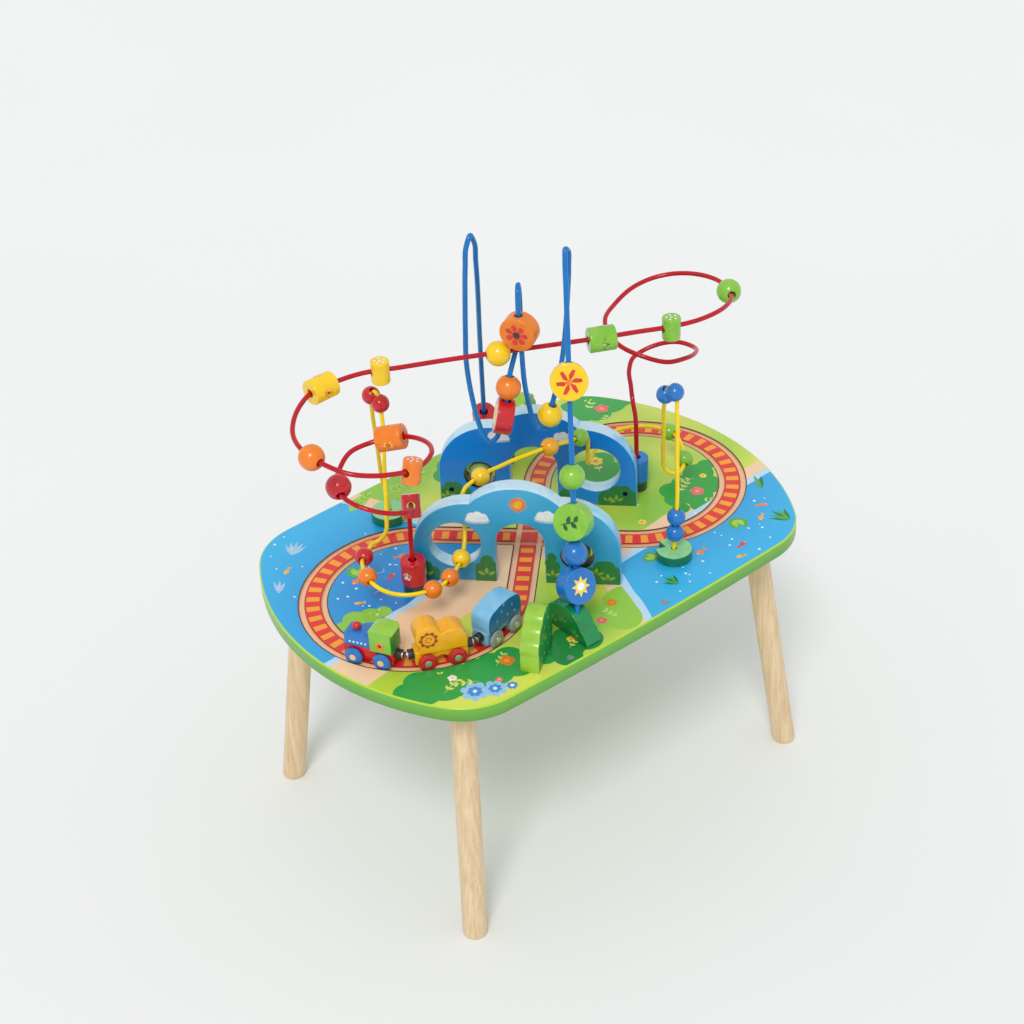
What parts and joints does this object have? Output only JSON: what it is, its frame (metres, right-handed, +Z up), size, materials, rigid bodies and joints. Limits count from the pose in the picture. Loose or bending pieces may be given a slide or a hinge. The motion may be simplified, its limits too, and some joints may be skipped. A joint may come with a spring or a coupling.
{
  "type": "play table",
  "caption": "Free-standing wooden play table with curved bead wires, arched bridge panels and a small train on a grooved looped track.",
  "frame": {"origin": "on the floor, under the middle of the table top", "axes": "+Z up, X along the long side of the table top, the train's loop of the track at -X and the front panel at -Y"},
  "size_m": [0.6, 0.4, 0.6895],
  "materials": {
    "painted_board": "printed and lacquered",
    "natural_wood": "smooth, clear lacquer",
    "painted_panel": "printed and lacquered",
    "olive_lacquer": "gloss lacquer",
    "steel_pin": "bright",
    "hill_paint": "printed and lacquered",
    "bush_paint": "printed and lacquered",
    "lily_paint": "lacquered",
    "foot_paint": "lacquered",
    "red_wire_paint": "gloss coating",
    "yellow_wire_paint": "gloss coating",
    "blue_wire_paint": "gloss coating",
    "engine_paint": "gloss lacquer",
    "middle_car_paint": "gloss lacquer",
    "rear_car_paint": "gloss lacquer",
    "engine_wheel_paint": "gloss",
    "middle_wheel_paint": "gloss",
    "rear_wheel_paint": "gloss",
    "red_lacquer": "gloss lacquer",
    "orange_lacquer": "gloss lacquer",
    "yellow_lacquer": "gloss lacquer",
    "green_lacquer": "gloss lacquer",
    "blue_lacquer": "gloss lacquer"
  },
  "bodies": {
    "table": {"back_bridge": "painted_panel", "back_bush": "bush_paint", "back_hill": "hill_paint", "back_spinner_pin": "steel_pin", "blue_wire": "blue_wire_paint", "front_bridge": "painted_panel", "front_bush": "bush_paint", "front_hill": "hill_paint", "front_spinner_pin": "steel_pin", "left_lily": "lily_paint", "left_wire_foot": "foot_paint", "leg_1": "natural_wood", "leg_2": "natural_wood", "leg_3": "natural_wood", "leg_4": "natural_wood", "red_wire": "red_wire_paint", "right_lily": "lily_paint", "right_wire_foot": "foot_paint", "table_top": "painted_board", "yellow_wire": "yellow_wire_paint"},
    "back_spinner": {"back_spinner": "olive_lacquer"},
    "blue_barrel": {"blue_barrel": "blue_lacquer"},
    "blue_disc": {"blue_disc": "blue_lacquer"},
    "blue_loop_ball": {"blue_loop_ball": "blue_lacquer"},
    "engine": {"engine": "engine_paint"},
    "engine_front_wheels": {"engine_front_wheels": "engine_wheel_paint"},
    "engine_rear_wheels": {"engine_rear_wheels": "engine_wheel_paint"},
    "front_spinner": {"front_spinner": "olive_lacquer"},
    "green_ball": {"green_ball": "green_lacquer"},
    "green_barrel": {"green_barrel": "green_lacquer"},
    "green_bridge_bead": {"green_bridge_bead": "green_lacquer"},
    "green_disc": {"green_disc": "green_lacquer"},
    "green_dotted_bead": {"green_dotted_bead": "green_lacquer"},
    "green_loop_ball": {"green_loop_ball": "green_lacquer"},
    "hill_red_barrel": {"hill_red_barrel": "red_lacquer"},
    "middle_car": {"middle_car": "middle_car_paint"},
    "middle_car_front_wheels": {"middle_car_front_wheels": "middle_wheel_paint"},
    "middle_car_rear_wheels": {"middle_car_rear_wheels": "middle_wheel_paint"},
    "orange_ball": {"orange_ball": "orange_lacquer"},
    "orange_barrel": {"orange_barrel": "orange_lacquer"},
    "orange_disc": {"orange_disc": "orange_lacquer"},
    "orange_dotted_bead": {"orange_dotted_bead": "orange_lacquer"},
    "orange_front_bead": {"orange_front_bead": "orange_lacquer"},
    "orange_loop_ball": {"orange_loop_ball": "orange_lacquer"},
    "orange_window_bead": {"orange_window_bead": "orange_lacquer"},
    "rear_car": {"rear_car": "rear_car_paint"},
    "rear_car_front_wheels": {"rear_car_front_wheels": "rear_wheel_paint"},
    "rear_car_rear_wheels": {"rear_car_rear_wheels": "rear_wheel_paint"},
    "red_ball": {"red_ball": "red_lacquer"},
    "red_barrel": {"red_barrel": "red_lacquer"},
    "red_disc": {"red_disc": "red_lacquer"},
    "red_dotted_bead": {"red_dotted_bead": "red_lacquer"},
    "red_yellow_wire_bead": {"red_yellow_wire_bead": "red_lacquer"},
    "yellow_ball": {"yellow_ball": "yellow_lacquer"},
    "yellow_barrel": {"yellow_barrel": "yellow_lacquer"},
    "yellow_bridge_bead": {"yellow_bridge_bead": "yellow_lacquer"},
    "yellow_disc": {"yellow_disc": "yellow_lacquer"},
    "yellow_dotted_bead": {"yellow_dotted_bead": "yellow_lacquer"},
    "yellow_loop_ball": {"yellow_loop_ball": "yellow_lacquer"},
    "yellow_window_bead": {"yellow_window_bead": "yellow_lacquer"}
  },
  "joints": [
    {"name": "back_spinner_turn", "type": "hinge", "parent": "table", "child": "back_spinner", "pos_m": [0.01, 0.09499, 0.3568], "axis": [0, 0, 1], "continuous": true},
    {"name": "blue_barrel_lift", "type": "slide", "parent": "table", "child": "blue_barrel", "axis": [0, 0, 1], "range_m": [0, 0.055]},
    {"name": "blue_disc_turn", "type": "hinge", "parent": "table", "child": "blue_disc", "pos_m": [-0.06578, -0.15675, 0.37459], "axis": [-0.2565, -0.3195, -0.9122], "continuous": true},
    {"name": "blue_loop_ball_turn", "type": "hinge", "parent": "table", "child": "blue_loop_ball", "pos_m": [-0.05715, -0.14608, 0.40505], "axis": [-0.2606, -0.3195, -0.911], "continuous": true},
    {"name": "train_run", "type": "hinge", "parent": "table", "child": "engine", "pos_m": [-0.15698, 0, 0.32], "axis": [0, 0, 1], "range_deg": [-150, 12]},
    {"name": "engine_front_axle", "type": "hinge", "parent": "engine", "child": "engine_front_wheels", "pos_m": [-0.26105, -0.03859, 0.3268], "axis": [-0.8788, -0.4772, 0], "continuous": true},
    {"name": "engine_rear_axle", "type": "hinge", "parent": "engine", "child": "engine_rear_wheels", "pos_m": [-0.24602, -0.06627, 0.3268], "axis": [-0.8788, -0.4772, 0], "continuous": true},
    {"name": "front_spinner_turn", "type": "hinge", "parent": "table", "child": "front_spinner", "pos_m": [-0.01, -0.09499, 0.3568], "axis": [0, 0, 1], "continuous": true},
    {"name": "green_ball_turn", "type": "hinge", "parent": "table", "child": "green_ball", "pos_m": [0.25617, -0.0463, 0.5486], "axis": [0.4892, 0.8636, -0.122], "continuous": true},
    {"name": "green_barrel_turn", "type": "hinge", "parent": "table", "child": "green_barrel", "pos_m": [0.07683, -0.04034, 0.5598], "axis": [0.8956, -0.4449, 0], "continuous": true},
    {"name": "green_bridge_bead_turn", "type": "hinge", "parent": "table", "child": "green_bridge_bead", "pos_m": [0.07256, -0.00571, 0.42135], "axis": [0.9585, 0.1028, -0.2657], "continuous": true},
    {"name": "green_disc_turn", "type": "hinge", "parent": "table", "child": "green_disc", "pos_m": [-0.04837, -0.1354, 0.43553], "axis": [-0.2631, -0.3192, -0.9104], "continuous": true},
    {"name": "green_dotted_bead_turn", "type": "hinge", "parent": "table", "child": "green_dotted_bead", "pos_m": [0.14495, -0.07405, 0.55994], "axis": [0.9266, -0.3759, -0.0111], "continuous": true},
    {"name": "green_loop_ball_turn", "type": "hinge", "parent": "table", "child": "green_loop_ball", "pos_m": [-0.03616, -0.12065, 0.47764], "axis": [-0.2643, -0.3183, -0.9104], "continuous": true},
    {"name": "hill_red_barrel_lift", "type": "slide", "parent": "table", "child": "hill_red_barrel", "axis": [-0.2565, -0.342, 0.904], "range_m": [0, 0.2]},
    {"name": "middle_car_run", "type": "hinge", "parent": "table", "child": "middle_car", "pos_m": [-0.15698, 0, 0.32], "axis": [0, 0, 1], "range_deg": [-150, 12]},
    {"name": "middle_car_front_axle", "type": "hinge", "parent": "middle_car", "child": "middle_car_front_wheels", "pos_m": [-0.21672, -0.09355, 0.3268], "axis": [-0.4131, -0.9107, 0], "continuous": true},
    {"name": "middle_car_rear_axle", "type": "hinge", "parent": "middle_car", "child": "middle_car_rear_wheels", "pos_m": [-0.18803, -0.10657, 0.3268], "axis": [-0.4131, -0.9107, 0], "continuous": true},
    {"name": "orange_ball_turn", "type": "hinge", "parent": "table", "child": "orange_ball", "pos_m": [-0.26476, 0.0041, 0.54519], "axis": [-0.1013, 0.9897, 0.1015], "continuous": true},
    {"name": "orange_barrel_turn", "type": "hinge", "parent": "table", "child": "orange_barrel", "pos_m": [-0.14941, 0.03256, 0.5027], "axis": [0.6075, -0.7502, 0.2608], "continuous": true},
    {"name": "orange_disc_turn", "type": "hinge", "parent": "table", "child": "orange_disc", "pos_m": [-0.00496, -0.00657, 0.58793], "axis": [0.0598, 0.0228, -0.998], "range_deg": [-65, 15]},
    {"name": "orange_dotted_bead_turn", "type": "hinge", "parent": "table", "child": "orange_dotted_bead", "pos_m": [-0.188, -0.05576, 0.52314], "axis": [-0.9532, -0.1769, 0.2453], "continuous": true},
    {"name": "orange_front_bead_turn", "type": "hinge", "parent": "table", "child": "orange_front_bead", "pos_m": [-0.16806, -0.04696, 0.36035], "axis": [0.9918, -0.116, -0.0545], "continuous": true},
    {"name": "orange_loop_ball_turn", "type": "hinge", "parent": "table", "child": "orange_loop_ball", "pos_m": [-0.01557, 0.00354, 0.51959], "axis": [0.2357, 0.0329, 0.9713], "continuous": true},
    {"name": "orange_window_bead_turn", "type": "hinge", "parent": "table", "child": "orange_window_bead", "pos_m": [-0.14121, -0.04163, 0.3591], "axis": [0.9097, 0.4129, -0.0441], "continuous": true},
    {"name": "rear_car_run", "type": "hinge", "parent": "table", "child": "rear_car", "pos_m": [-0.15698, 0, 0.32], "axis": [0, 0, 1], "range_deg": [-150, 12]},
    {"name": "rear_car_front_axle", "type": "hinge", "parent": "rear_car", "child": "rear_car_front_wheels", "pos_m": [-0.1482, -0.11065, 0.3268], "axis": [0.2198, -0.9756, 0], "continuous": true},
    {"name": "rear_car_rear_axle", "type": "hinge", "parent": "rear_car", "child": "rear_car_rear_wheels", "pos_m": [-0.11747, -0.10373, 0.3268], "axis": [0.2198, -0.9756, 0], "continuous": true},
    {"name": "red_ball_turn", "type": "hinge", "parent": "table", "child": "red_ball", "pos_m": [-0.22422, 0.02502, 0.48046], "axis": [0.4201, 0.8748, 0.2416], "continuous": true},
    {"name": "red_barrel_lift", "type": "slide", "parent": "table", "child": "red_barrel", "axis": [0, 0, 1], "range_m": [0, 0.055]},
    {"name": "red_disc_turn", "type": "hinge", "parent": "table", "child": "red_disc", "pos_m": [-0.02243, 0.00521, 0.48612], "axis": [0.2028, -0.126, 0.9711], "continuous": true},
    {"name": "red_dotted_bead_turn", "type": "hinge", "parent": "table", "child": "red_dotted_bead", "pos_m": [-0.1589, -0.00652, 0.44147], "axis": [-0.4806, -0.7038, 0.5231], "continuous": true},
    {"name": "red_yellow_wire_bead_turn", "type": "hinge", "parent": "table", "child": "red_yellow_wire_bead", "pos_m": [-0.18537, 0.05041, 0.35855], "axis": [-0.7492, -0.6401, 0.17], "continuous": true},
    {"name": "yellow_ball_turn", "type": "hinge", "parent": "table", "child": "yellow_ball", "pos_m": [-0.02091, 0.01116, 0.5598], "axis": [0.8826, -0.4701, 0], "continuous": true},
    {"name": "yellow_barrel_turn", "type": "hinge", "parent": "table", "child": "yellow_barrel", "pos_m": [-0.19496, 0.08338, 0.55971], "axis": [0.9996, 0.0189, 0.0195], "continuous": true},
    {"name": "yellow_bridge_bead_turn", "type": "hinge", "parent": "table", "child": "yellow_bridge_bead", "pos_m": [-0.057, 0.00647, 0.42397], "axis": [0.9926, -0.0084, 0.1211], "continuous": true},
    {"name": "yellow_disc_turn", "type": "hinge", "parent": "table", "child": "yellow_disc", "pos_m": [-0.01033, -0.08961, 0.56696], "axis": [-0.2637, -0.3149, -0.9118], "continuous": true},
    {"name": "yellow_dotted_bead_turn", "type": "hinge", "parent": "table", "child": "yellow_dotted_bead", "pos_m": [-0.13156, 0.06783, 0.55991], "axis": [0.8866, -0.4625, -0.0042], "continuous": true},
    {"name": "yellow_loop_ball_turn", "type": "hinge", "parent": "table", "child": "yellow_loop_ball", "pos_m": [0.01958, -0.02068, 0.48176], "axis": [0.1442, -0.2255, 0.9635], "continuous": true},
    {"name": "yellow_window_bead_turn", "type": "hinge", "parent": "table", "child": "yellow_window_bead", "pos_m": [-0.11209, -0.02384, 0.35986], "axis": [0.7831, 0.6044, 0.1464], "continuous": true}
  ],
  "couplings": [
    {"joint": "engine_front_axle", "follows": "train_run", "ratio": -11.1},
    {"joint": "engine_rear_axle", "follows": "train_run", "ratio": -11.1},
    {"joint": "middle_car_run", "follows": "train_run", "ratio": 1},
    {"joint": "middle_car_front_axle", "follows": "train_run", "ratio": -11.1},
    {"joint": "middle_car_rear_axle", "follows": "train_run", "ratio": -11.1},
    {"joint": "rear_car_run", "follows": "train_run", "ratio": 1},
    {"joint": "rear_car_front_axle", "follows": "train_run", "ratio": -11.1},
    {"joint": "rear_car_rear_axle", "follows": "train_run", "ratio": -11.1}
  ]
}
